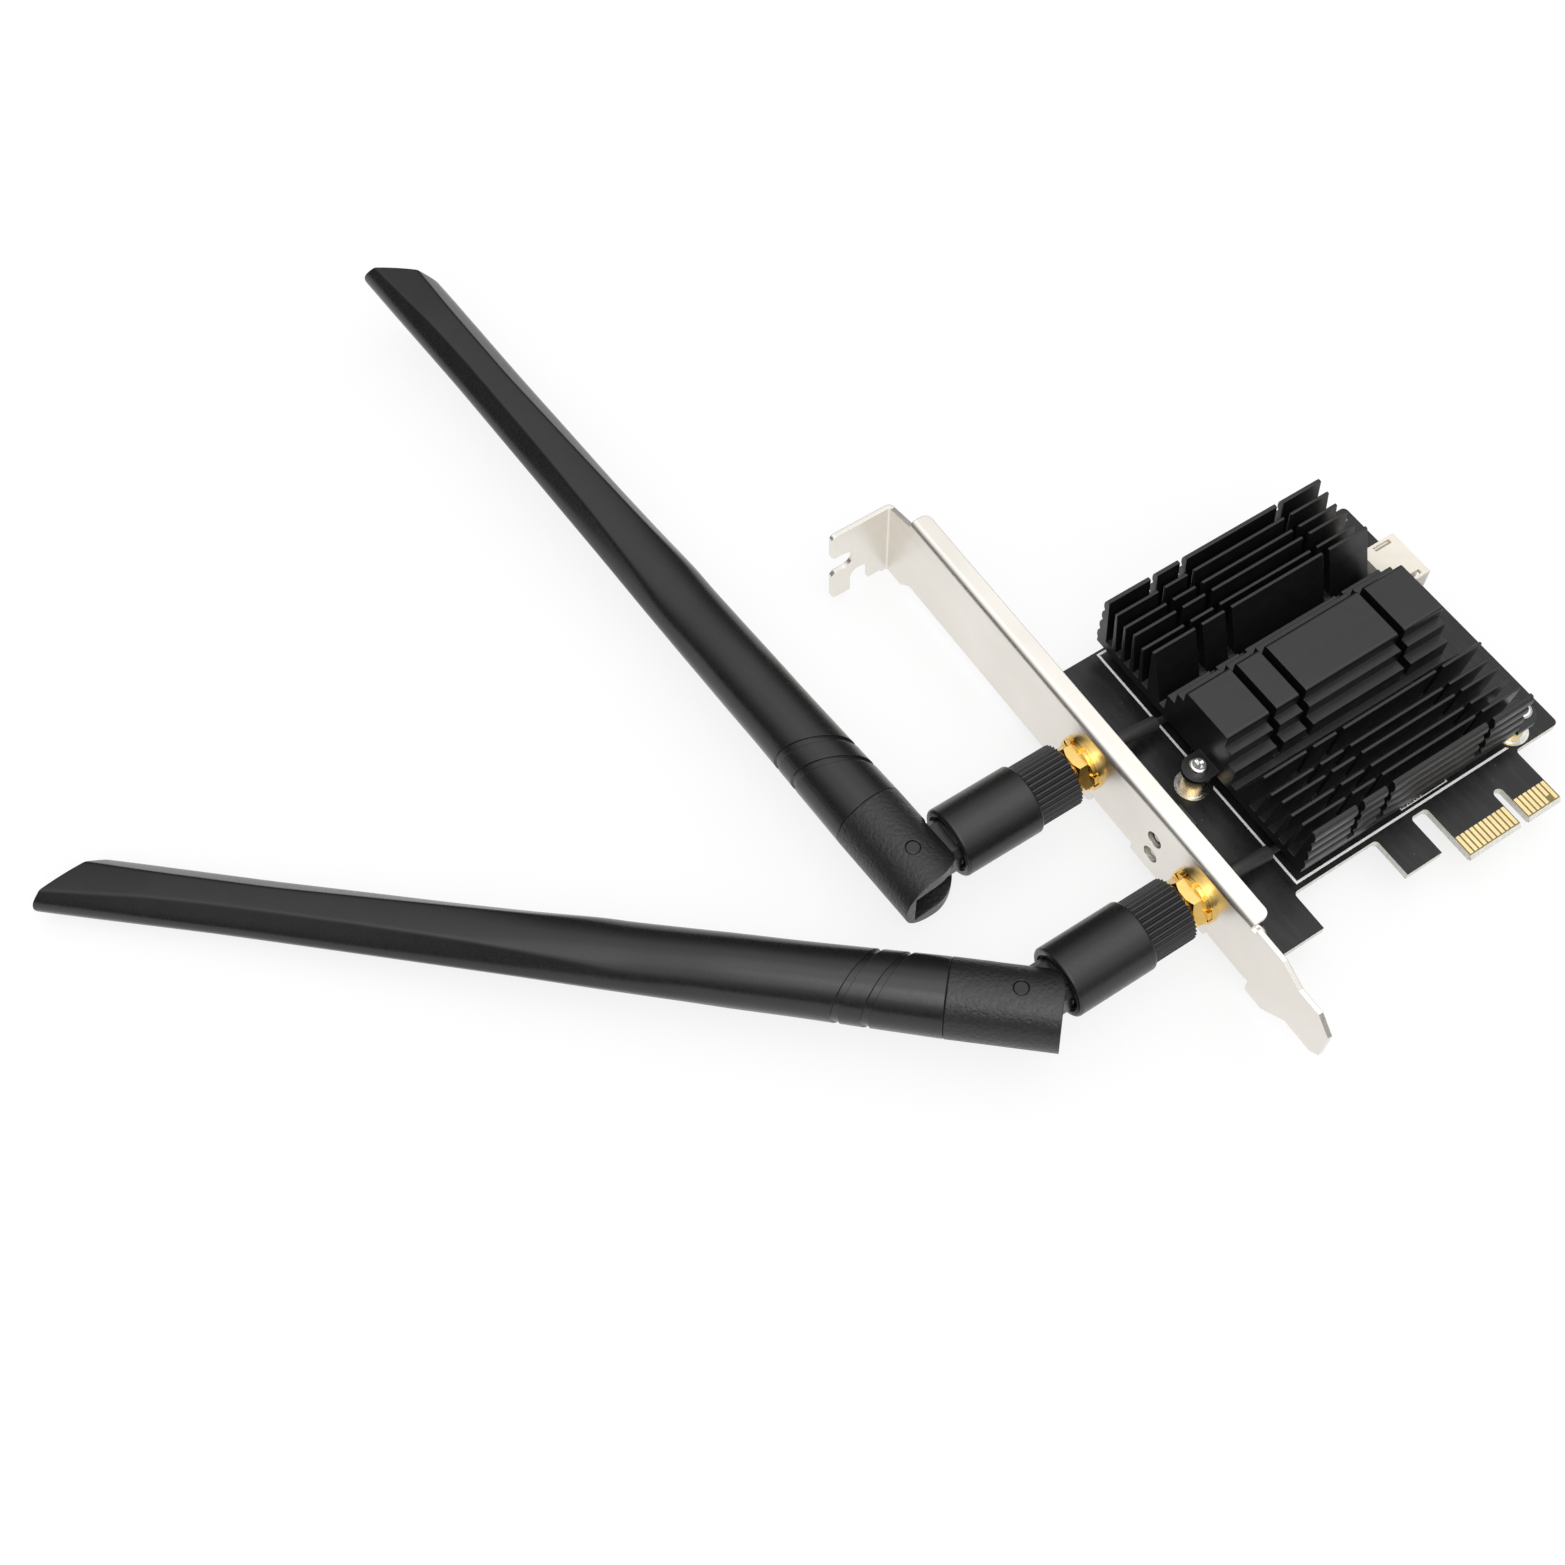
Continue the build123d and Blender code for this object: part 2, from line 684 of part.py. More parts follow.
def heatsink_standoffs():
    """Brass posts soldered into the board under the heatsink's ears."""
    posts = []
    for x, y in STANDOFFS:
        post = rod_z(x, y, 0, ear_low(), STANDOFF_D)
        post += rod_z(x, y, 0, STANDOFF_COLLAR_H, STANDOFF_COLLAR_D)
        post += rod_z(x, y, 0, STANDOFF_FLANGE_H, STANDOFF_FLANGE_D)
        post += rod_z(x, y, -BOARD_T, 0, STANDOFF_SHANK_D)
        posts.append(post - rod_z(x, y, ear_top() - SINK_SCREW_L, ear_low() + OVER, SINK_SCREW_D))
    return Compound(posts)


def heatsink_screws():
    """Bright screws through the heatsink's ears."""
    return Compound(
        [
            pan_screw(x, y, ear_top(), SINK_SCREW_D, SINK_HEAD_D, SINK_HEAD_H, SINK_SCREW_L)
            for x, y in STANDOFFS
        ]
    )


def module_top():
    return MODULE_Z0 + MODULE_T


def module_board():
    """Radio module: a small board with an edge tongue and a half-round screw notch."""
    half = MODULE_W / 2
    x1 = MODULE_X0 + MODULE_L
    board = block(MODULE_X0, x1 - MODULE_TONGUE_L, SINK_YC - half, SINK_YC + half, MODULE_Z0, module_top())
    tongue = MODULE_TONGUE_W / 2
    root = x1 - MODULE_TONGUE_L - OVER
    board += block(root, x1, SINK_YC - tongue, SINK_YC + tongue, MODULE_Z0, module_top())
    return board - rod_z(MODULE_X0, SINK_YC, 0, FAR, MODULE_NOTCH_D)


def module_shield():
    """Pressed metal can over the radio chips, open underneath."""
    half = SHIELD_W / 2
    z0 = module_top()
    can = block(SHIELD_X0, SHIELD_X0 + SHIELD_L, SINK_YC - half, SINK_YC + half, z0, z0 + SHIELD_H)
    can = fillet(can.edges().filter_by(Axis.Z), SHIELD_ROUND)
    inner = half - SHIELD_T
    return can - block(
        SHIELD_X0 + SHIELD_T, SHIELD_X0 + SHIELD_L - SHIELD_T,
        SINK_YC - inner, SINK_YC + inner, z0 - OVER, z0 + SHIELD_H - SHIELD_T,
    )


def thermal_pad():
    """Soft pad that fills the gap between the can and the heatsink."""
    half = SHIELD_W / 2 - PAD_MARGIN
    return block(
        SHIELD_X0 + PAD_MARGIN, SHIELD_X0 + SHIELD_L - PAD_MARGIN,
        SINK_YC - half, SINK_YC + half, module_top() + SHIELD_H, SINK_Z0,
    )


def m2_socket():
    """Edge socket that holds the module's tongue."""
    half = SOCKET_W / 2
    body = block(SOCKET_X0, SOCKET_X0 + SOCKET_L, SINK_YC - half, SINK_YC + half, 0, SOCKET_H)
    mouth = MODULE_TONGUE_W / 2 + FIT
    x1 = MODULE_X0 + MODULE_L
    return body - block(
        SOCKET_X0 - OVER, x1 + FIT, SINK_YC - mouth, SINK_YC + mouth, MODULE_Z0, module_top() + FIT
    )


def module_post():
    """Threaded post under the module's screw notch."""
    post = rod_z(MODULE_X0, SINK_YC, 0, MODULE_Z0, MODULE_POST_D)
    return post - rod_z(MODULE_X0, SINK_YC, -OVER, FAR, MODULE_SCREW_D)


def module_screw():
    """Low-head screw that holds the module down."""
    return pan_screw(
        MODULE_X0, SINK_YC, module_top(), MODULE_SCREW_D, MODULE_HEAD_D, MODULE_HEAD_H, module_top()
    )


def header_pin_ys():
    return [HEADER_Y0 + HEADER_END + i * HEADER_PITCH for i in range(HEADER_PINS)]


def header_tail_x():
    """X range of the header's solder tails."""
    x = BOARD_X1 - HEADER_L - HEADER_TAIL
    return x - HEADER_PIN / 2, x + HEADER_PIN / 2


def header_pin_z():
    return HEADER_H / 2


def usb_header():
    """Cream side-entry cable header, its mouth towards the rear edge."""
    width = 2 * HEADER_END + (HEADER_PINS - 1) * HEADER_PITCH
    y1 = HEADER_Y0 + width
    x0 = BOARD_X1 - HEADER_L
    body = block(x0, BOARD_X1, HEADER_Y0, y1, 0, HEADER_H)
    body -= block(
        BOARD_X1 - HEADER_MOUTH, BOARD_X1 + OVER,
        HEADER_Y0 + HEADER_WALL, y1 - HEADER_WALL, HEADER_WALL, HEADER_H - HEADER_WALL,
    )
    slot_x1 = BOARD_X1 - HEADER_SLOT_END
    for y in (HEADER_Y0 + HEADER_SLOT_IN, y1 - HEADER_SLOT_IN - HEADER_SLOT_W):
        body -= block(
            slot_x1 - HEADER_SLOT_L, slot_x1, y, y + HEADER_SLOT_W, HEADER_H - HEADER_WALL, HEADER_H + OVER
        )
    for y in header_pin_ys():
        body -= block(
            x0 - OVER, BOARD_X1, y - HEADER_PIN / 2, y + HEADER_PIN / 2,
            header_pin_z() - HEADER_PIN / 2, header_pin_z() + HEADER_PIN / 2,
        )
    return body


def usb_header_pins():
    """Bent square pins, through the board at the header's back."""
    tail_x0, tail_x1 = header_tail_x()
    z0 = header_pin_z() - HEADER_PIN / 2
    z1 = header_pin_z() + HEADER_PIN / 2
    pins = []
    for y in header_pin_ys():
        y0 = y - HEADER_PIN / 2
        y1 = y + HEADER_PIN / 2
        pin = block(tail_x0, BOARD_X1 - HEADER_WALL, y0, y1, z0, z1)
        pins.append(pin + block(tail_x0, tail_x1, y0, y1, -BOARD_T - HEADER_PIN, z1))
    return Compound(pins)


def lamp_zs():
    return (LAMP_Z, LAMP_Z + LAMP_STEP)


def lamp_body_x0():
    """Front of the lamp housing, behind the bracket's sheet."""
    return SHEET_T + 2 * LAMP_GAP


def lamp_housing():
    """Black two-storey housing that holds the lamps."""
    half = LAMP_BODY_W / 2
    x0 = lamp_body_x0()
    top = lamp_zs()[-1] + half
    body = block(x0, x0 + LAMP_BODY_L, LAMP_Y - half, LAMP_Y + half, 0, top)
    for z in lamp_zs():
        body -= rod_x(LAMP_Y, z, x0 - OVER, x0 + LAMP_BODY_L / 2, LAMP_D)
    return body


def lamp_lenses():
    """Round lenses seen through the bracket's two holes."""
    x0 = lamp_body_x0()
    lenses = []
    for z in lamp_zs():
        lens = rod_x(LAMP_Y, z, SHEET_T / 2 + LAMP_D / 2, x0 + LAMP_BODY_L / 2, LAMP_D)
        lenses.append(lens + Pos(SHEET_T / 2 + LAMP_D / 2, LAMP_Y, z) * Sphere(LAMP_D / 2))
    return Compound(lenses)


def hexagon(across_flats):
    """Hexagon with two flats facing +Z and -Z once it stands on the X axis."""
    return RegularPolygon(across_flats / 2, 6, major_radius=False)


def on_jack(y, x):
    """Plane across a jack's axis, facing outwards along -X."""
    return Plane(origin=(x, y, JACK_Z), x_dir=(0, 1, 0), z_dir=(-1, 0, 0))


def ferrule_end():
    """X where the crimp ferrule stops and the lead leaves it."""
    return SHEET_T + JACK_HEX_L + JACK_FERRULE_L


def rf_jack(y):
    """Gold bulkhead jack: hexagon and ferrule inside, threaded barrel outside."""
    jack = extrude(on_jack(y, SHEET_T + JACK_HEX_L) * hexagon(JACK_HEX), JACK_HEX_L)
    jack += rod_x(y, JACK_Z, JACK_TIP, SHEET_T, JACK_D)
    jack += rod_x(y, JACK_Z, SHEET_T + JACK_HEX_L, ferrule_end(), JACK_FERRULE_D)
    root = JACK_D - 2 * THREAD_DEPTH
    for i in range(THREAD_RINGS):
        x = -PLAIN_WASHER_T - WASHER_T - NUT_T - (i + 0.5) * THREAD_PITCH
        ring = rod_x(y, JACK_Z, x - THREAD_PITCH / 4, x + THREAD_PITCH / 4, JACK_D + OVER)
        jack -= ring - rod_x(y, JACK_Z, x - OVER, x + OVER, root)
    jack -= rod_x(y, JACK_Z, JACK_TIP - OVER, 0, JACK_BORE)
    return jack


def rf_insulator(y):
    """White insulator in the jack's bore."""
    body = rod_x(y, JACK_Z, JACK_TIP + JACK_D / 2, 0, JACK_BORE)
    return body - rod_x(y, JACK_Z, JACK_TIP, OVER, CONTACT_PIN_D)


def rf_pin(y):
    """Centre contact of the jack."""
    return rod_x(y, JACK_Z, JACK_TIP + CONTACT_PIN_INSET, 0, CONTACT_PIN_D)


def plain_washer(y):
    """Flat washer against the bracket's outer face."""
    ring = Circle(PLAIN_WASHER_D / 2) - Circle(JACK_D / 2)
    return extrude(on_jack(y, 0) * ring, PLAIN_WASHER_T)


def lock_washer(y):
    """Toothed washer between the plain washer and the nut."""
    ring = Circle(WASHER_D / 2) - Circle(JACK_D / 2)
    for i in range(WASHER_TEETH):
        turn = Rot(0, 0, 360 * i / WASHER_TEETH)
        ring -= turn * Pos(WASHER_D / 2, 0) * Rectangle(2 * WASHER_NOTCH, WASHER_T)
    return extrude(on_jack(y, -PLAIN_WASHER_T) * ring, WASHER_T)


def hex_nut(y):
    """Gold nut with its outer corners turned off."""
    nut = extrude(hexagon(NUT_AF), NUT_T)
    blank = Cylinder(NUT_AF / 2 / cos(radians(30)), NUT_T, align=(Align.CENTER, Align.CENTER, Align.MIN))
    blank = chamfer(blank.edges().sort_by(Axis.Z)[-1], NUT_CHAMFER)
    nut = (nut & blank) - Cylinder(JACK_D / 2, 4 * NUT_T)
    return on_jack(y, -PLAIN_WASHER_T - WASHER_T) * nut


def plug_y(index):
    """Plug place across the module, level with the upper jack or mirrored from it."""
    reach = JACK_YS[1] - SINK_YC
    return SINK_YC + (reach if index else -reach)


def lead_drop():
    """Points in X and Z where the lead leaves the ferrule, tips down and levels out."""
    return ((ferrule_end(), JACK_Z), (LEAD_TIP_X, JACK_Z), (LEAD_LEVEL_X, LEAD_LOW))


def lead_path(index):
    """Route of a lead from its jack to its plug on the module."""
    y = JACK_YS[index]
    points = [(x, y, z) for x, z in lead_drop()]
    end = plug_y(index)
    points.append((PLUG_X, y, LEAD_LOW))
    if end > y + LEAD_BEND:
        points.append((PLUG_X, end, LEAD_LOW))
    return FilletPolyline(*points, radius=LEAD_BEND)


def lead(index):
    """Coaxial lead, cut back to the outside of its plug."""
    path = lead_path(index)
    cable = sweep((path ^ 0) * Circle(LEAD_D / 2), path=path)
    return cable - rod_z(PLUG_X, plug_y(index), 0, FAR, PLUG_D)


def heat_shrink(y):
    """Heat-shrink sleeve over the lead where it leaves the jack."""
    start, tip, level = lead_drop()
    share = (SHRINK_X1 - tip[0]) / (level[0] - tip[0])
    end = (SHRINK_X1, tip[1] + share * (level[1] - tip[1]))
    path = FilletPolyline(*[(x, y, z) for x, z in (start, tip, end)], radius=LEAD_BEND)
    return sweep((path ^ 0) * (Circle(SHRINK_D / 2) - Circle(LEAD_D / 2)), path=path)


def coax_plug(index):
    """Snap-on plug at the module end of a lead."""
    return rod_z(PLUG_X, plug_y(index), module_top(), module_top() + PLUG_H, PLUG_D)


def antenna_base(y):
    """Moulded base: ribbed grip over the coupling, smooth sleeve over the swivel."""
    grip = Circle(KNURL_D / 2)
    for i in range(KNURL_RIBS):
        grip -= Rot(0, 0, 360 * i / KNURL_RIBS) * Pos(KNURL_D / 2, 0) * Circle(KNURL_CUT)
    base = extrude(on_jack(y, BASE_X0) * grip, BASE_X0 - BASE_SEAM)
    sleeve = rod_x(y, JACK_Z, BASE_SEAM, BASE_END, SLEEVE_D)
    base += fillet(sleeve.edges().filter_by(GeomType.CIRCLE), SLEEVE_ROUND)
    wall = BASE_END + NECK_RECESS_L
    cavity = wall + NECK_WALL
    base -= rod_x(y, JACK_Z, BASE_X0 + OVER, COUPLING_END, COUPLING_D)
    base -= rod_x(y, JACK_Z, COUPLING_END + OVER, cavity, FEED_D)
    base -= rod_x(y, JACK_Z, cavity, cavity + NECK_FLANGE_L + 4 * NECK_AXIAL, NECK_CAVITY_D)
    base -= rod_x(y, JACK_Z, BASE_END - OVER, cavity, NECK_D + 2 * RUN_CLEAR)
    return base - rod_x(y, JACK_Z, BASE_END - OVER, wall, NECK_RECESS_D)


def coupling_nut(y):
    """Brass coupling moulded into the base, screwed onto the jack."""
    ring = rod_x(y, JACK_Z, BASE_X0 - COUPLING_GAP, COUPLING_END, COUPLING_D)
    return ring - rod_x(y, JACK_Z, BASE_X0, COUPLING_END - OVER, JACK_D)


def antenna_neck(y):
    """Swivel neck: collar held inside the base, tongue drilled for the hinge pin."""
    collar = BASE_END + NECK_RECESS_L + NECK_WALL + NECK_AXIAL
    neck = rod_x(y, JACK_Z, collar, collar + NECK_FLANGE_L, NECK_FLANGE_D)
    neck += rod_x(y, JACK_Z, BASE_END + NECK_AXIAL, collar, NECK_D)
    half_w = NECK_TONGUE_W / 2
    half_t = NECK_TONGUE_T / 2
    root = BASE_END + NECK_RECESS_L
    bar = block(HINGE_X, root, y - half_w, y + half_w, JACK_Z - half_t, JACK_Z + half_t)
    bar = chamfer(bar.edges().filter_by(Axis.X), NECK_TONGUE_EDGE)
    eye = rod_z(HINGE_X, y, JACK_Z - half_t, JACK_Z + half_t, NECK_TONGUE_W)
    neck += bar + chamfer(eye.edges().filter_by(GeomType.CIRCLE), NECK_TONGUE_EDGE)
    neck -= rod_x(y, JACK_Z, HINGE_X + PIN_D, FAR, FEED_D)
    return neck - rod_z(HINGE_X, y, -FAR, FAR, PIN_D + 2 * RUN_CLEAR)


def hinge_pin():
    """Pin across the fork of the hinge cap."""
    half = CAP_D / 2 - PIN_RECESS
    pin = rod_z(0, 0, -half, half, PIN_D)
    return chamfer(pin.edges().filter_by(GeomType.CIRCLE), PIN_CHAMFER)


def hinge_cap():
    """Textured fork: slotted towards its end and its inner side, so that it folds one way."""
    wide = CAP_D
    plan = Circle(CAP_END)
    plan += Pos(CAP_SEAM / 2, 0) * Rectangle(CAP_SEAM, wide)
    plan += Pos(-CAP_END / 2, wide / 4) * Rectangle(CAP_END, wide / 2)
    blank = rod_x(0, 0, -CAP_END, CAP_SEAM, CAP_D)
    blank = chamfer(blank.edges().filter_by(GeomType.CIRCLE).sort_by(Axis.X)[-1], SEAM_CHAMFER)
    cap = blank & extrude(plan, CAP_D, both=True)
    reach = NECK_TONGUE_W / 2 + CAP_SLOT_CLEAR
    cap -= block(-FAR, reach, -FAR, reach, -CAP_SLOT_T / 2, CAP_SLOT_T / 2)
    cap += rod_x(0, 0, CAP_SEAM, CAP_SEAM + SPIGOT_L, SPIGOT_D - 2 * FIT)
    cap -= rod_x(0, 0, 0, CAP_SEAM + SPIGOT_L + OVER, FEED_D)
    return cap - rod_z(0, 0, -FAR, FAR, PIN_D)


def blade_radius(x):
    """Radius of the blade's round blank at a distance from the hinge."""
    share = (x - CAP_SEAM) / (BLADE_L - CAP_SEAM)
    return CAP_D / 2 + share * (BLADE_TIP_D - CAP_D) / 2


def facet_tool(angle, start, tip_r):
    """Half-space that planes a long facet, running out on the round blank at start."""
    start_r = blade_radius(start)
    slope = degrees(atan2(start_r - tip_r, BLADE_L - start))
    tool = Box(4 * BLADE_L, FAR, FAR, align=(Align.CENTER, Align.CENTER, Align.MIN))
    return Rot(angle, 0, 0) * Pos(start, 0, start_r) * Rot(0, slope, 0) * tool


def tip_plan():
    """Plan of the blade with its slanting, bowed tip."""
    r = BLADE_TIP_D / 2
    inner = (BLADE_L - TIP_CUT, -r)
    outer = (BLADE_L, r - TIP_ROUND)
    bow = (BLADE_L - TIP_CUT * TIP_BOW, -r * TIP_BOW)
    edge = Polyline(outer, (BLADE_L, FAR), (0, FAR), (0, -FAR), (inner[0], -FAR), inner)
    return make_face([*edge.edges(), ThreePointArc(inner, bow, outer)])


def blade_groove(x):
    """Shallow slanting ring round the lower end of the blade."""
    band = Pos(x, 0, 0) * Rot(0, 0, -GROOVE_TILT) * Box(GROOVE_W, FAR, FAR)
    return band - rod_x(0, 0, 0, BLADE_L, 2 * (blade_radius(x) - GROOVE_DEPTH))


def radiator_x0():
    """Where the radiating strip starts, past the cap's spigot."""
    return CAP_SEAM + SPIGOT_L


def antenna_blade():
    """Hollow radome: round at the hinge, planed flat and bevelled towards the tip."""
    blank = Cone(
        CAP_D / 2, BLADE_TIP_D / 2, BLADE_L - CAP_SEAM, align=(Align.CENTER, Align.CENTER, Align.MIN)
    )
    blank = chamfer(blank.edges().filter_by(GeomType.CIRCLE).sort_by(Axis.Z)[0], SEAM_CHAMFER)
    blade = Pos(CAP_SEAM, 0, 0) * Rot(0, 90, 0) * blank
    blade &= extrude(tip_plan(), FAR, both=True)
    for side in (0, 180):
        blade -= facet_tool(side, FACET_START, FACET_TIP_R)
        for lean in (-BEVEL_ANGLE, BEVEL_ANGLE):
            blade -= facet_tool(side + lean, BEVEL_START, BEVEL_TIP_R)
    for x in GROOVE_XS:
        blade -= blade_groove(x)
    blade -= rod_x(0, 0, CAP_SEAM - OVER, CAP_SEAM + SPIGOT_L, SPIGOT_D)
    half_w = POCKET_W / 2
    half_h = POCKET_H / 2
    pocket_end = radiator_x0() + RADIATOR_L + POCKET_SPARE
    return blade - block(CAP_SEAM, pocket_end, -half_w, half_w, -half_h, half_h)


def radiator():
    """Strip that radiates, lying on the floor of the blade's pocket."""
    x0 = radiator_x0()
    half = POCKET_W / 2 - FIT
    return block(x0, x0 + RADIATOR_L, -half, half, -POCKET_H / 2, -POCKET_H / 2 + RADIATOR_T)


def save(name, shape):
    export_step(shape, f"parts/{name}.step")


def save_card():
    """Write the pieces that stay with the card."""
    save("circuit_board", circuit_board())
    save("board_print", board_print())
    save("header_pads", header_pads())
    save("contacts_component_side", edge_contacts(0, CONTACT_T))
    save("contacts_solder_side", edge_contacts(-BOARD_T - CONTACT_T, -BOARD_T))
    save("bracket", bracket())
    save("bracket_screws", bracket_screws())
    save("heatsink", heatsink())
    save("heatsink_standoffs", heatsink_standoffs())
    save("heatsink_screws", heatsink_screws())
    save("thermal_pad", thermal_pad())
    save("module_board", module_board())
    save("module_shield", module_shield())
    save("module_post", module_post())
    save("module_screw", module_screw())
    save("m2_socket", m2_socket())
    save("usb_header", usb_header())
    save("usb_header_pins", usb_header_pins())
    save("lamp_housing", lamp_housing())
    save("lamp_lenses", lamp_lenses())


def save_jacks():
    """Write the jacks, their fasteners and the leads to the module."""
    save("rf_jacks", Compound([rf_jack(y) for y in JACK_YS]))
    save("rf_insulators", Compound([rf_insulator(y) for y in JACK_YS]))
    save("rf_pins", Compound([rf_pin(y) for y in JACK_YS]))
    save("plain_washers", Compound([plain_washer(y) for y in JACK_YS]))
    save("lock_washers", Compound([lock_washer(y) for y in JACK_YS]))
    save("hex_nuts", Compound([hex_nut(y) for y in JACK_YS]))
    save("heat_shrinks", Compound([heat_shrink(y) for y in JACK_YS]))
    save("coax_plugs", Compound([coax_plug(i) for i in range(len(JACK_YS))]))
    for i, name in enumerate(FOLD_ANGLE):
        save(f"{name}_lead", lead(i))


def save_antennas():
    """Write both antennas, each swivelled and folded to its own angles."""
    pin = hinge_pin()
    cap = hinge_cap()
    blade = antenna_blade()
    strip = radiator()
    for (name, fold), y in zip(FOLD_ANGLE.items(), JACK_YS):
        turn = Pos(HINGE_X, y, JACK_Z) * Rot(SWIVEL_ANGLE[name], 0, 0)
        at = turn * Rot(0, 0, 180 - fold)
        save(f"{name}_base", antenna_base(y))
        save(f"{name}_coupling", coupling_nut(y))
        save(f"{name}_neck", turn * Pos(-HINGE_X, -y, -JACK_Z) * antenna_neck(y))
        save(f"{name}_hinge_pin", at * pin)
        save(f"{name}_hinge_cap", at * cap)
        save(f"{name}_blade", at * blade)
        save(f"{name}_radiator", at * strip)


os.makedirs("parts", exist_ok=True)
save_card()
save_jacks()
save_antennas()
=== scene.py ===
"""Looks for the wireless card: materials, blades, camera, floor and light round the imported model."""
import json
from math import radians, tan

import bpy
import numpy as np
from mathutils import Matrix, Vector


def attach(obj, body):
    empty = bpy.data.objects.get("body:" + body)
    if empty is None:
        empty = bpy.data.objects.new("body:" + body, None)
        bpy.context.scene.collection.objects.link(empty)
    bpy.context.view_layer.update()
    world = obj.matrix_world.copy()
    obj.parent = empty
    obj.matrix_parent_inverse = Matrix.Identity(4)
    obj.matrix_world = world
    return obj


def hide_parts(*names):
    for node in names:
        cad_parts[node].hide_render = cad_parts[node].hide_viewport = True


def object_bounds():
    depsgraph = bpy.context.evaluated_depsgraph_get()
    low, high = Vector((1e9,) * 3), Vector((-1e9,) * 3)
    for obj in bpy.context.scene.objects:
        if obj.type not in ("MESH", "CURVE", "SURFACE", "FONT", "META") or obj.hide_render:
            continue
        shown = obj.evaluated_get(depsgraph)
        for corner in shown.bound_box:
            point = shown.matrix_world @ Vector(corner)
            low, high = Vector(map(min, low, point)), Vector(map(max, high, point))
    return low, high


MM = 0.001

# Camera fitted to the photograph: right, down and forward as rows, then its place in mm
CAMERA_ROWS = (
    (0.838657, -0.544300, -0.019811),
    (-0.483592, -0.727398, -0.486858),
    (0.250586, 0.417887, -0.873257),
)
CAMERA_AT = (-127.786, -66.084, 295.755)
FOCAL_PX = 1981.96
PHOTO_PX = 1565
SENSOR = 36.0

# Studio: the surround is brightest round one direction and fades with the angle from it
SKY_AXIS = (0.0, -0.15, 0.9887)
SKY_STEPS = (
    (0.0, 0.05), (0.22, 0.12), (0.32, 0.2), (0.56, 0.68),
    (0.69, 1.1), (0.78, 1.12), (0.9, 1.9), (1.0, 2.2),
)
FLOOR_GLOW = 0.8
FLOOR_REACH = 4.0
FLOOR_GAP = 0.0002
KEY_AT = (-0.35, -0.40, 0.85)
KEY_AIM = (0, 0.05, 0)
KEY_SIZE = (0.6, 0.6)
KEY_POWER = 1.8

# Antennas at rest: hinge in mm, then swivel and fold in degrees
HINGES = {"lower": ((-35.2, 18.4, 5.0), -5.0, 42.8), "upper": ((-35.2, 48.3, 5.0), 0.0, 86.2)}
# Blade: lengths in mm, places measured from the hinge
BLADE_SEAM = 11.4
BLADE_TIP = 166.4
SEAM_CHAMFER = 0.15
RIM_CHAMFER = 0.3
GROOVES = (20.7, 25.6)
GROOVE_HALF = 0.67
GROOVE_WALL = 0.03
GROOVE_DEPTH = 0.35
GROOVE_CLEAR = 0.1
GROOVE_SLOPE = tan(radians(26.6))
# The rings slant fully this far from the grooves, and stand square again at the end
SLANT_RUN = 2.0
SLANT_END = 45.0
# The tip's slanting end as a quadratic in Y, and where the rings start to lean towards it
TIP_PLAN = (-0.018, 0.93, 162.05)
TIP_FROM = 120.0
AROUND = 192
RING_STEP = 0.8
# Section of the blade as (place, value) stations: lean of the side facets in degrees, then in mm their
# reach and the half width on the long and the short side, and half the thickness and breadth of the top
LEAN = ((11.4, 90), (40, 74), (62, 54), (80, 52.5), (110, 47), (130, 45.5), (167, 47))
LONG_REACH = ((20, 9), (40, 6.9), (50, 6.15), (80, 5.24), (110, 4.62), (135, 4.33), (155, 4.5))
SHORT_REACH = ((20, 9), (40, 6.9), (50, 6.3), (60, 6.2), (80, 5.45), (125, 4.8), (155, 4.95))
LONG_HALF = ((20, 9), (52, 7.25), (63, 6.2), (90, 5.68), (130, 5))
SHORT_HALF = ((20, 9), (55, 7), (72, 6.3), (92, 5.62), (130, 5.82), (150, 6.15))
HALF_THICKNESS = ((11.4, 6.6), (48, 5.95), (62, 5.1), (80, 4.8), (110, 4.5), (146, 4.26), (174, 3.07))
HALF_BREADTH = ((11.4, 6.6), (35, 6.16), (65, 6.06), (80, 7.1), (120, 16))
PROFILE_END = 174.0
PROFILE_STEP = 0.25
PROFILE_WINDOW = 41
# How sharply the facets join the sides, and the top joins both
SIDE_JOIN = 12
TOP_JOIN = 48
SHARP_ANGLE = 35

# Cosines of the turn at a rounded edge between which its wear fades out
EDGE_TURN = (0.75, 0.98)
# Radius of the rounded edges of plain grained materials, in metres
GRAIN_EDGE = 0.00008
# Where the board's solder mask stops round the contacts, in mm
MASK_END_Y = 4.3
MASK_END_X = 43.0
# Nodes with a finish of their own within their slot
OWN_FINISH = {"contacts_component_side": "contact", "contacts_solder_side": "contact"}
# Height of the solder fillet round each brass post, in mm
SOLDER_TOP = 0.5


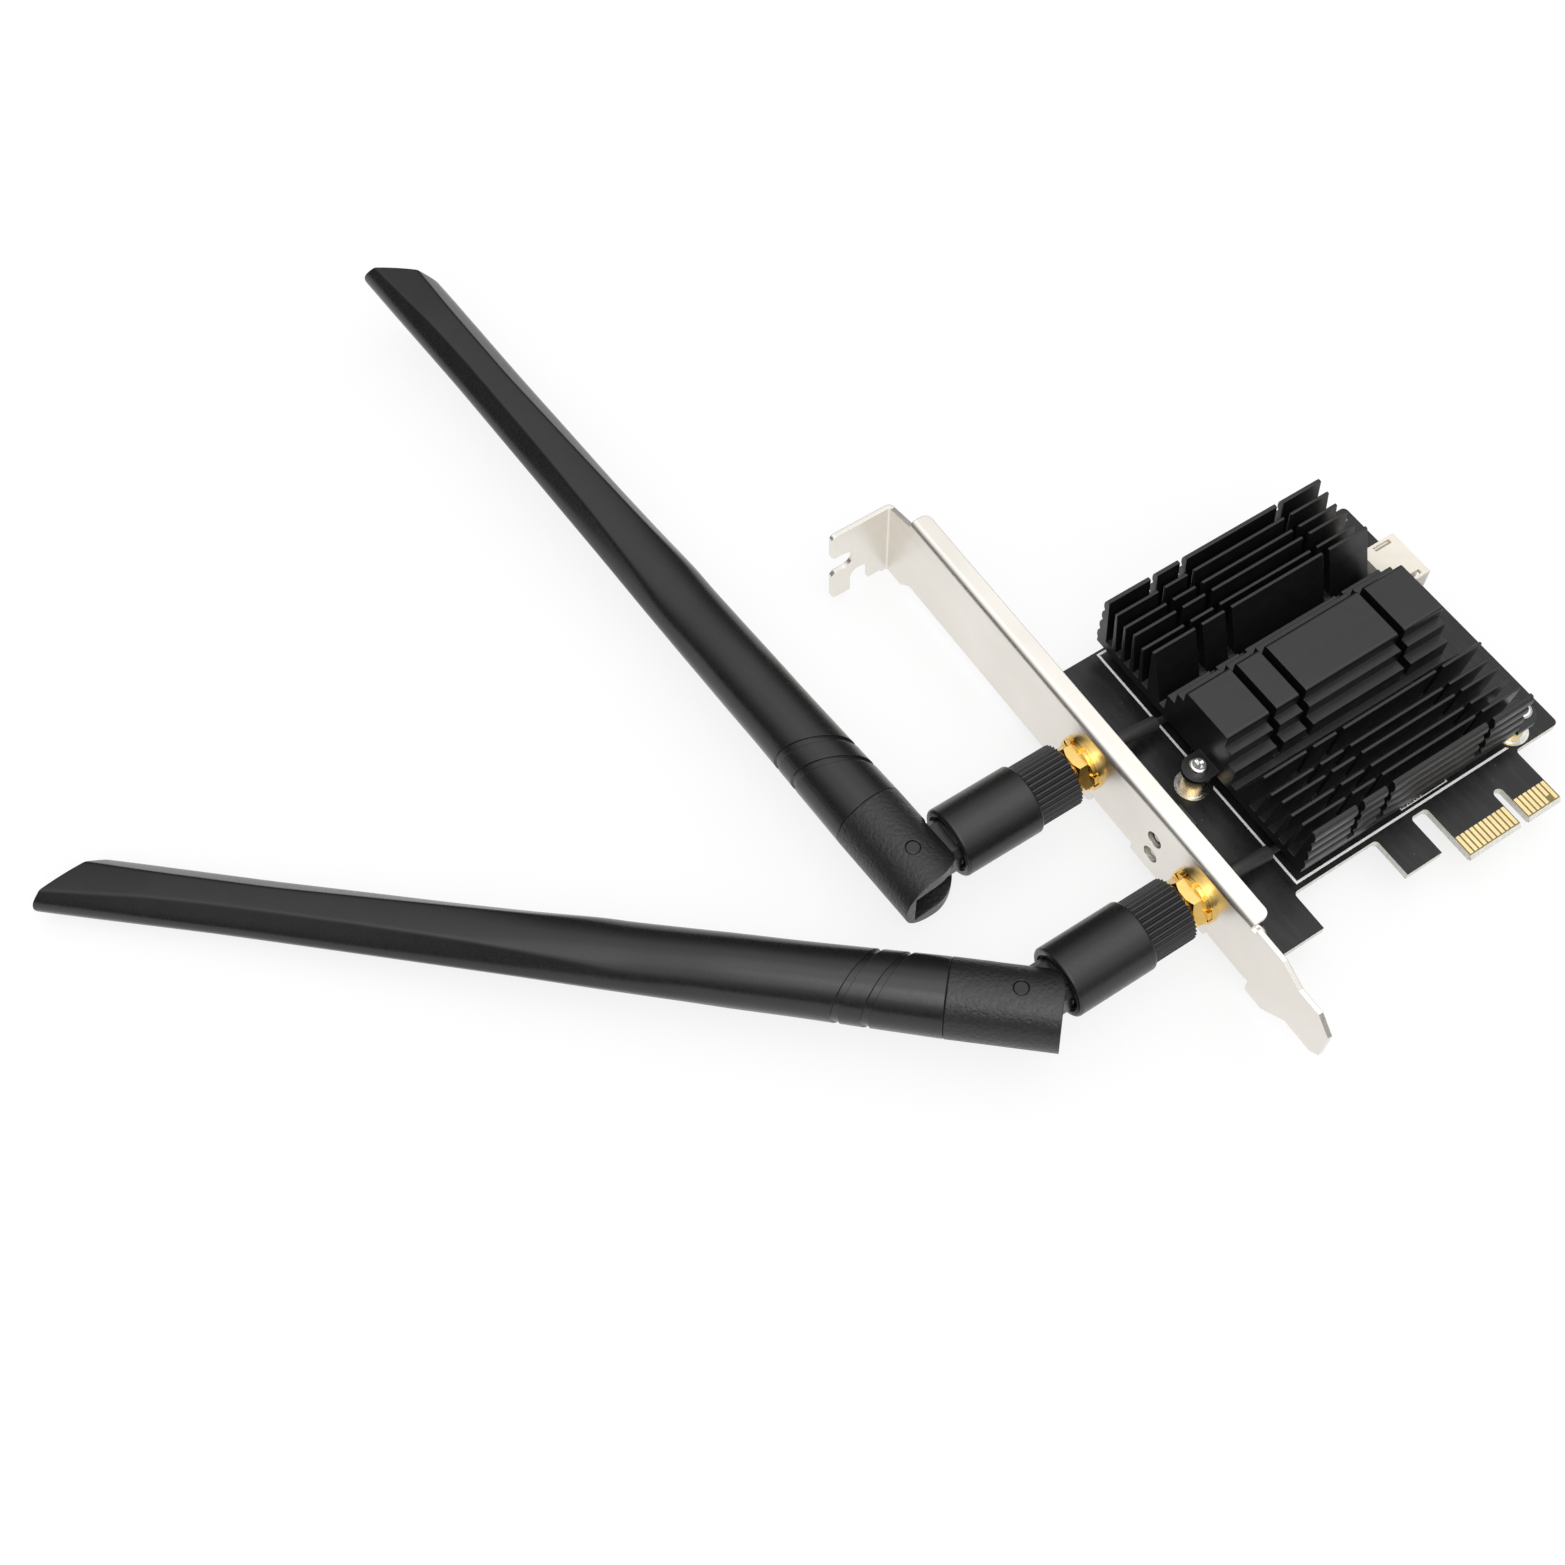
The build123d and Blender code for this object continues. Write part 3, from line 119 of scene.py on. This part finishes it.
class Shader:
    """A material being built round one Principled shader, in object coordinates."""

    def __init__(self, name, metallic=0.0, roughness=0.5, specular=0.5):
        self.material = bpy.data.materials.new(name)
        self.material.use_nodes = True
        self.tree = self.material.node_tree
        self.bsdf = self.tree.nodes["Principled BSDF"]
        self.bsdf.inputs["Metallic"].default_value = metallic
        self.bsdf.inputs["Roughness"].default_value = roughness
        self.bsdf.inputs["Specular IOR Level"].default_value = specular
        self.coords = self.add("ShaderNodeTexCoord")
        self.rounded = None

    def add(self, kind, **values):
        node = self.tree.nodes.new(kind)
        for key, value in values.items():
            setattr(node, key, value)
        return node

    def link(self, source, target):
        self.tree.links.new(source, target)

    def noise(self, scale, stretch=(1, 1, 1), detail=4.0):
        """Noise of a scale per metre, drawn out along axes with a small stretch."""
        mapping = self.add("ShaderNodeMapping")
        mapping.inputs["Scale"].default_value = stretch
        self.link(self.coords.outputs["Object"], mapping.inputs["Vector"])
        node = self.add("ShaderNodeTexNoise")
        node.inputs["Scale"].default_value = scale
        node.inputs["Detail"].default_value = detail
        self.link(mapping.outputs["Vector"], node.inputs["Vector"])
        return node.outputs["Fac"]

    def cells(self, scale):
        """Distance to the nearest of many scattered points, for specks and grains."""
        node = self.add("ShaderNodeTexVoronoi")
        node.inputs["Scale"].default_value = scale
        self.link(self.coords.outputs["Object"], node.inputs["Vector"])
        return node.outputs["Distance"]

    def ramp(self, source, low, high, start=0.3, end=0.7):
        node = self.add("ShaderNodeValToRGB")
        node.color_ramp.elements[0].position = start
        node.color_ramp.elements[0].color = (*low, 1)
        node.color_ramp.elements[1].position = end
        node.color_ramp.elements[1].color = (*high, 1)
        self.link(source, node.inputs["Fac"])
        return node.outputs["Color"]

    def span(self, source, low, high, start=0.3, end=0.7):
        node = self.add("ShaderNodeMapRange")
        for key, value in (("From Min", start), ("From Max", end), ("To Min", low), ("To Max", high)):
            node.inputs[key].default_value = value
        self.link(source, node.inputs["Value"])
        return node.outputs["Result"]

    def axis(self, output, index):
        """One component of a coordinate: object place or object normal."""
        node = self.add("ShaderNodeSeparateXYZ")
        self.link(self.coords.outputs[output], node.inputs["Vector"])
        return node.outputs[index]

    def math(self, operation, first, second=None):
        node = self.add("ShaderNodeMath", operation=operation)
        for socket, value in zip(node.inputs, (first, second)):
            if value is None:
                continue
            if isinstance(value, (int, float)):
                socket.default_value = value
            else:
                self.link(value, socket)
        return node.outputs["Value"]

    def mix(self, factor, low, high):
        node = self.add("ShaderNodeMix", data_type="RGBA")
        self.link(factor, node.inputs["Factor"])
        for socket, value in ((node.inputs[6], low), (node.inputs[7], high)):
            if isinstance(value, tuple):
                socket.default_value = (*value, 1)
            else:
                self.link(value, socket)
        return node.outputs[2]

    def edges(self, radius):
        """Round the shading over the mesh's edges; gives a mask that is 1 along them."""
        self.rounded = self.add("ShaderNodeBevel", samples=6)
        self.rounded.inputs["Radius"].default_value = radius
        flat = self.add("ShaderNodeNewGeometry")
        turn = self.add("ShaderNodeVectorMath", operation="DOT_PRODUCT")
        self.link(self.rounded.outputs["Normal"], turn.inputs[0])
        self.link(flat.outputs["Normal"], turn.inputs[1])
        return self.span(turn.outputs["Value"], 1.0, 0.0, *EDGE_TURN)

    def bump(self, height, depth, strength=1.0):
        node = self.add("ShaderNodeBump")
        node.inputs["Strength"].default_value = strength
        node.inputs["Distance"].default_value = depth
        self.link(height, node.inputs["Height"])
        if self.rounded:
            self.link(self.rounded.outputs["Normal"], node.inputs["Normal"])
        self.link(node.outputs["Normal"], self.bsdf.inputs["Normal"])

    def colour(self, source):
        self.link(source, self.bsdf.inputs["Base Color"])

    def rough(self, source):
        self.link(source, self.bsdf.inputs["Roughness"])


def shade(colour, factor):
    return tuple(min(1.0, c * factor) for c in colour)


def grained(name, colour, rough, grain, depth, metallic=0.0, spread=0.06, wear=1.25):
    """Colour and roughness that vary a little, over a fine raised grain, lighter along the edges."""
    s = Shader(name, metallic, rough)
    worn = s.edges(GRAIN_EDGE)
    body = s.ramp(s.noise(400, detail=3), shade(colour, 1 - spread), shade(colour, 1 + spread))
    s.colour(s.mix(worn, body, shade(colour, wear)))
    s.rough(s.span(s.noise(900), rough * 0.88, rough * 1.12))
    s.bump(s.noise(grain, detail=2), depth, 0.5)
    return s.material


def board_material():
    """Black solder mask with faint tracks and specks; pale laminate where it is cut or bare."""
    s = Shader("board", roughness=0.3, specular=0.4)
    tracks = s.noise(700, (1, 0.15, 1), detail=1)
    mask = s.ramp(tracks, (0.010, 0.010, 0.0105), (0.015, 0.015, 0.0155), 0.48, 0.56)
    speck = s.math("LESS_THAN", s.cells(420), 0.055)
    thinned = s.math("MULTIPLY", speck, s.math("GREATER_THAN", s.noise(150, detail=0), 0.55))
    mask = s.mix(thinned, mask, (0.10, 0.10, 0.095))
    cut = s.ramp(s.noise(1400, (1, 1, 0.1)), (0.60, 0.585, 0.53), (0.76, 0.745, 0.69))
    bare = s.ramp(s.noise(1800), (0.17, 0.12, 0.035), (0.25, 0.19, 0.06))
    flat = s.math("GREATER_THAN", s.math("ABSOLUTE", s.axis("Normal", 2)), 0.97)
    masked = s.math(
        "MAXIMUM",
        s.math("GREATER_THAN", s.axis("Object", 1), MASK_END_Y * MM),
        s.math("LESS_THAN", s.axis("Object", 0), MASK_END_X * MM),
    )
    s.colour(s.mix(flat, cut, s.mix(masked, bare, mask)))
    s.rough(s.span(s.noise(1200), 0.26, 0.36))
    s.bump(tracks, 0.00002, 0.4)
    return s.material


def nickel_material():
    """Satin nickel sheet: fine speckle, faint lines of rolling along its length, bright edges."""
    s = Shader("nickel", metallic=1.0, roughness=0.34)
    worn = s.edges(0.00015)
    rolled = s.noise(1800, (1, 0.02, 1), detail=2)
    speckle = s.noise(5200, detail=2)
    sheet = s.ramp(s.noise(60), (0.80, 0.765, 0.705), (0.855, 0.82, 0.76))
    s.colour(s.mix(worn, sheet, (0.93, 0.91, 0.86)))
    s.rough(s.span(rolled, 0.28, 0.38))
    s.bump(s.math("ADD", rolled, s.math("MULTIPLY", speckle, 0.8)), 0.000008, 0.5)
    return s.material


def heatsink_material():
    """Black anodised extrusion with fine draw lines along X and edges that have worn a little grey."""
    s = Shader("black_aluminium", roughness=0.36, specular=0.6)
    worn = s.edges(0.00018)
    drawn = s.noise(3200, (0.02, 1, 1), detail=3)
    body = s.ramp(drawn, (0.0030, 0.0031, 0.0034), (0.0065, 0.0067, 0.0072))
    rubbed = s.math("MULTIPLY", worn, s.span(s.noise(500), 0.3, 1.0))
    s.colour(s.mix(rubbed, body, (0.022, 0.022, 0.023)))
    s.rough(s.span(s.noise(420), 0.32, 0.42))
    s.bump(drawn, 0.00001, 0.4)
    return s.material


def post_material():
    """Turned brass post with a bright ring of solder at its foot."""
    s = Shader("brass_post", metallic=1.0, roughness=0.3)
    worn = s.edges(0.0001)
    brass = s.ramp(s.noise(900, (1, 1, 4)), (0.60, 0.44, 0.20), (0.70, 0.53, 0.27))
    solder = s.ramp(s.noise(1500), (0.62, 0.61, 0.58), (0.78, 0.77, 0.74))
    turned = s.mix(worn, brass, (0.88, 0.74, 0.46))
    s.colour(s.mix(s.math("GREATER_THAN", s.axis("Object", 2), SOLDER_TOP * MM), solder, turned))
    s.rough(s.span(s.noise(1800), 0.18, 0.32))
    s.bump(s.noise(1500, (1, 1, 6), detail=2), 0.00001, 0.4)
    return s.material


def moulded_material(name, base, rough, grain_scale, grain_depth, strength, edge):
    """Black moulded plastic whose spark-eroded texture catches the light in specks."""
    s = Shader(name, roughness=rough)
    worn = s.edges(edge)
    grey = (base, base, base * 1.03)
    body = s.ramp(s.noise(300, detail=3), shade(grey, 0.9), shade(grey, 1.1))
    s.colour(s.mix(worn, body, shade(grey, 1.5)))
    s.rough(s.span(s.noise(1500), rough - 0.04, rough + 0.05))
    s.bump(s.noise(grain_scale, detail=2), grain_depth, strength)
    return s.material


def make_materials():
    return {
        "board": board_material(),
        "nickel": nickel_material(),
        "black_aluminium": heatsink_material(),
        "print": grained("print", (0.88, 0.88, 0.86), 0.6, 5000, 0.00001, wear=1.0),
        "gold": grained("gold", (0.83, 0.58, 0.19), 0.14, 2500, 0.000006, metallic=1.0, wear=1.12),
        "contact": grained("contact", (0.84, 0.68, 0.36), 0.2, 2500, 0.000006, metallic=1.0, wear=1.1),
        "bright_screw": grained("bright_screw", (0.78, 0.77, 0.75), 0.2, 2500, 0.00001, metallic=1.0),
        "brass_post": post_material(),
        "pad": grained("pad", (0.38, 0.40, 0.43), 0.8, 1800, 0.00005),
        "module": grained("module", (0.02, 0.05, 0.035), 0.4, 1500, 0.00002),
        "can": grained("can", (0.66, 0.66, 0.65), 0.35, 2200, 0.00001, metallic=1.0),
        "socket": grained("socket", (0.02, 0.02, 0.02), 0.5, 2600, 0.00002),
        "cream": grained("cream", (0.79, 0.74, 0.65), 0.45, 1800, 0.00002, spread=0.03, wear=1.1),
        "tin": grained("tin", (0.76, 0.75, 0.72), 0.26, 2200, 0.00001, metallic=1.0),
        "lens": grained("lens", (0.80, 0.81, 0.78), 0.15, 1200, 0.00001, spread=0.03),
        "white_insulator": grained("white_insulator", (0.82, 0.82, 0.80), 0.45, 1600, 0.00001),
        "lead_black": grained("lead_black", (0.012, 0.012, 0.012), 0.5, 2400, 0.00002),
        "shrink": grained("shrink", (0.024, 0.024, 0.025), 0.55, 1900, 0.00004),
        "antenna_satin": moulded_material("antenna_satin", 0.010, 0.30, 3000, 0.00001, 0.3, 0.00025),
        "antenna_blade": moulded_material("antenna_blade", 0.010, 0.24, 3000, 0.000008, 0.25, 0.00015),
        "antenna_texture": moulded_material("antenna_texture", 0.012, 0.36, 1500, 0.00014, 0.85, 0.00035),
        "radiator_board": grained("radiator_board", (0.2, 0.3, 0.14), 0.5, 1800, 0.00002),
    }


def dress(frame, materials):
    """Give every CAD node the material of its slot in the record."""
    for part in frame["record"]["subparts"]:
        slots = frame["nodes"][part["node"]].data.materials
        slots.clear()
        slots.append(materials[OWN_FINISH.get(part["node"], part["material_slot"])])


def profile(x, stations):
    """One of the section's values at places along the blade, smoothed between its stations."""
    places, values = np.array(stations).T
    grid = np.arange(0.0, PROFILE_END, PROFILE_STEP)
    window = np.hanning(PROFILE_WINDOW)
    window /= window.sum()
    padded = np.pad(np.interp(grid, places, values), PROFILE_WINDOW // 2, mode="edge")
    return np.interp(x, grid, np.convolve(padded, window, "valid"))


def strongest(limits, sharpness):
    """Smooth maximum of inverse radii: the nearest surface wins, with a rounded join."""
    return sum(limit ** sharpness for limit in limits) ** (1 / sharpness)


def blade_radius(x, angle):
    """Distance from the blade's axis to its skin: rounded top, two leaning facets, rounded sides."""
    long_side = np.cos(angle) > 0
    across, up = np.abs(np.cos(angle)), np.abs(np.sin(angle))
    half = np.where(long_side, profile(x, LONG_HALF), profile(x, SHORT_HALF))
    reach = np.where(long_side, profile(x, LONG_REACH), profile(x, SHORT_REACH))
    lean = np.radians(profile(x, LEAN))
    facet = (across * np.sin(lean) + up * np.cos(lean)) / reach
    top = np.hypot(across / profile(x, HALF_BREADTH), up / profile(x, HALF_THICKNESS))
    return 1 / strongest((strongest((across / half, facet), SIDE_JOIN), top), TOP_JOIN)


def eased(x, start, end):
    share = np.clip((x - start) / (end - start), 0, 1)
    return share * share * (3 - 2 * share)


def ring_place(s, y):
    """Where a ring lies along the blade: it slants with the grooves and follows the tip's slanting end."""
    leaning = eased(s, BLADE_SEAM, GROOVES[0] - SLANT_RUN)
    slant = leaning * (1 - eased(s, GROOVES[1] + SLANT_RUN, SLANT_END))
    share = eased(s, TIP_FROM, BLADE_TIP)
    return s + y * GROOVE_SLOPE * slant + share * (np.polyval(TIP_PLAN, y) - BLADE_TIP)


def blade_rings():
    """Places of the rings along the blade, each with how far it is sunk below the skin."""
    rings = [(BLADE_SEAM, SEAM_CHAMFER), (BLADE_SEAM + SEAM_CHAMFER, 0.0)]
    for middle in GROOVES:
        start, end = middle - GROOVE_HALF, middle + GROOVE_HALF
        rings += [(start, 0.0), (start + GROOVE_WALL, GROOVE_DEPTH)]
        rings += [(end - GROOVE_WALL, GROOVE_DEPTH), (end, 0.0)]
    for s in np.arange(BLADE_SEAM + RING_STEP, BLADE_TIP - RIM_CHAMFER, RING_STEP):
        if all(abs(s - middle) > GROOVE_HALF + GROOVE_CLEAR for middle in GROOVES):
            rings.append((float(s), 0.0))
    return sorted(rings) + [(BLADE_TIP - RIM_CHAMFER, 0.0), (BLADE_TIP, RIM_CHAMFER)]


def blade_points():
    """Points of every ring, in the blade's own frame."""
    angle = (np.arange(AROUND) + 0.5) * 2 * np.pi / AROUND
    points = []
    for s, sunk in blade_rings():
        x = np.full(AROUND, s)
        for _ in range(4):
            r = blade_radius(x, angle) - sunk
            x = ring_place(s, r * np.cos(angle))
        points.append(np.stack([x, r * np.cos(angle), r * np.sin(angle)], axis=1))
    return np.concatenate(points)


def blade_faces(count):
    """Quads between the rings, a fan at the seam and upright quads across the tip."""
    faces = []
    for i in range(count - 1):
        for k in range(AROUND):
            a, b = i * AROUND + k, i * AROUND + (k + 1) % AROUND
            faces.append((a, b, b + AROUND, a + AROUND))
    faces.append(tuple(range(AROUND - 1, -1, -1)))
    last = (count - 1) * AROUND
    for k in range(AROUND // 2 - 1):
        faces.append((last + k, last + k + 1, last + AROUND - 2 - k, last + AROUND - 1 - k))
    return faces


def make_blade(side, material):
    """Outer skin of one antenna blade, in the place of its CAD node."""
    hinge, swivel, fold = HINGES[side]
    place = (
        Matrix.Translation(Vector(hinge) * MM)
        @ Matrix.Rotation(radians(swivel), 4, "X")
        @ Matrix.Rotation(radians(180 - fold), 4, "Z")
        @ Matrix.Scale(MM, 4)
    )
    points = blade_points()
    mesh = bpy.data.meshes.new(f"{side}_blade_skin")
    mesh.from_pydata([place @ Vector(p) for p in points], [], blade_faces(len(points) // AROUND))
    mesh.shade_smooth()
    mesh.set_sharp_from_angle(angle=radians(SHARP_ANGLE))
    mesh.materials.append(material)
    skin = bpy.data.objects.new(f"{side}_blade_skin", mesh)
    bpy.context.scene.collection.objects.link(skin)
    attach(skin, f"{side}_antenna")
    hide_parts(f"{side}_blade")


def floor_material():
    """White floor: camera, glossy and transmission rays see it mostly lit from itself."""
    s = Shader("floor", roughness=0.9)
    s.colour(s.ramp(s.noise(20), (0.86, 0.86, 0.86), (0.90, 0.90, 0.90)))
    glow = s.add("ShaderNodeEmission")
    glow.inputs["Color"].default_value = (1, 1, 1, 1)
    blend = s.add("ShaderNodeMixShader")
    s.link(s.math("MULTIPLY", seen_ray(s), FLOOR_GLOW), blend.inputs["Fac"])
    s.link(s.bsdf.outputs["BSDF"], blend.inputs[1])
    s.link(glow.outputs["Emission"], blend.inputs[2])
    s.link(blend.outputs["Shader"], s.tree.nodes["Material Output"].inputs["Surface"])
    return s.material


def seen_ray(s):
    """1 where the floor is seen, straight or in a reflection, and 0 where it lights the object."""
    path = s.add("ShaderNodeLightPath")
    seen = s.math("MAXIMUM", path.outputs["Is Camera Ray"], path.outputs["Is Glossy Ray"])
    return s.math("MAXIMUM", seen, path.outputs["Is Transmission Ray"])


def make_floor(height):
    mesh = bpy.data.meshes.new("floor")
    corners = [(x * FLOOR_REACH, y * FLOOR_REACH, height) for x, y in ((-1, -1), (1, -1), (1, 1), (-1, 1))]
    mesh.from_pydata(corners, [], [(0, 1, 2, 3)])
    mesh.materials.append(floor_material())
    floor = bpy.data.objects.new("floor", mesh)
    bpy.context.scene.collection.objects.link(floor)


def make_light(name, place, target, size, power):
    lamp = bpy.data.lights.new(name, "AREA")
    lamp.shape = "RECTANGLE"
    lamp.size, lamp.size_y = size
    lamp.energy = power
    light = bpy.data.objects.new(name, lamp)
    light.location = place
    light.rotation_euler = (Vector(target) - Vector(place)).to_track_quat("-Z", "Y").to_euler()
    bpy.context.scene.collection.objects.link(light)


def sky_strength(tree):
    """Strength of the surround by the angle from the sky's axis."""
    coords = tree.nodes.new("ShaderNodeTexCoord")
    turn = tree.nodes.new("ShaderNodeVectorMath")
    turn.operation = "DOT_PRODUCT"
    turn.inputs[1].default_value = SKY_AXIS
    tree.links.new(coords.outputs["Generated"], turn.inputs[0])
    steps = tree.nodes.new("ShaderNodeFloatCurve")
    curve = steps.mapping.curves[0]
    top = SKY_STEPS[-1][1]
    curve.points[0].location = (SKY_STEPS[0][0], SKY_STEPS[0][1] / top)
    curve.points[1].location = (1.0, 1.0)
    for height, level in SKY_STEPS[1:-1]:
        curve.points.new(height, level / top)
    steps.mapping.update()
    tree.links.new(turn.outputs["Value"], steps.inputs["Value"])
    scale = tree.nodes.new("ShaderNodeMath")
    scale.operation = "MULTIPLY"
    scale.inputs[1].default_value = top
    tree.links.new(steps.outputs["Value"], scale.inputs[0])
    return scale.outputs["Value"]


def make_world():
    """Soft surround, brightest overhead; the camera itself sees white beyond the floor."""
    world = bpy.data.worlds.new("studio")
    world.use_nodes = True
    tree = world.node_tree
    back = tree.nodes["Background"]
    back.inputs["Color"].default_value = (1, 1, 1, 1)
    path = tree.nodes.new("ShaderNodeLightPath")
    pick = tree.nodes.new("ShaderNodeMix")
    tree.links.new(path.outputs["Is Camera Ray"], pick.inputs["Factor"])
    tree.links.new(sky_strength(tree), pick.inputs["A"])
    pick.inputs["B"].default_value = 1.0
    tree.links.new(pick.outputs["Result"], back.inputs["Strength"])
    bpy.context.scene.world = world


def make_camera():
    right, down, forward = (Vector(row) for row in CAMERA_ROWS)
    turn = Matrix((right, -down, -forward)).transposed().to_4x4()
    data = bpy.data.cameras.new("camera")
    data.sensor_width = SENSOR
    data.lens = FOCAL_PX / PHOTO_PX * SENSOR
    data.clip_start = 0.01
    data.clip_end = 20.0
    camera = bpy.data.objects.new("camera", data)
    camera.matrix_world = Matrix.Translation(Vector(CAMERA_AT) * MM) @ turn
    bpy.context.scene.collection.objects.link(camera)
    bpy.context.scene.camera = camera


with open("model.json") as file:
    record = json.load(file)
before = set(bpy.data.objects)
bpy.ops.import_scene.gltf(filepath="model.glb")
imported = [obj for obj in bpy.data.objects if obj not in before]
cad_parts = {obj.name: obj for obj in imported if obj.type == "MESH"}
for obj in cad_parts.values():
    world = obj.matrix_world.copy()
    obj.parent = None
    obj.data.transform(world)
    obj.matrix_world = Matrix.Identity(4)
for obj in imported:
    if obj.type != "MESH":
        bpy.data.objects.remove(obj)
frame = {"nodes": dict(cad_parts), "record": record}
cad_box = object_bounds()
materials = make_materials()
dress(frame, materials)
for side in HINGES:
    make_blade(side, materials["antenna_blade"])
make_floor(cad_box[0].z - FLOOR_GAP)
make_world()
make_light("key", KEY_AT, KEY_AIM, KEY_SIZE, KEY_POWER)
make_camera()
bpy.context.scene.view_settings.view_transform = "Standard"
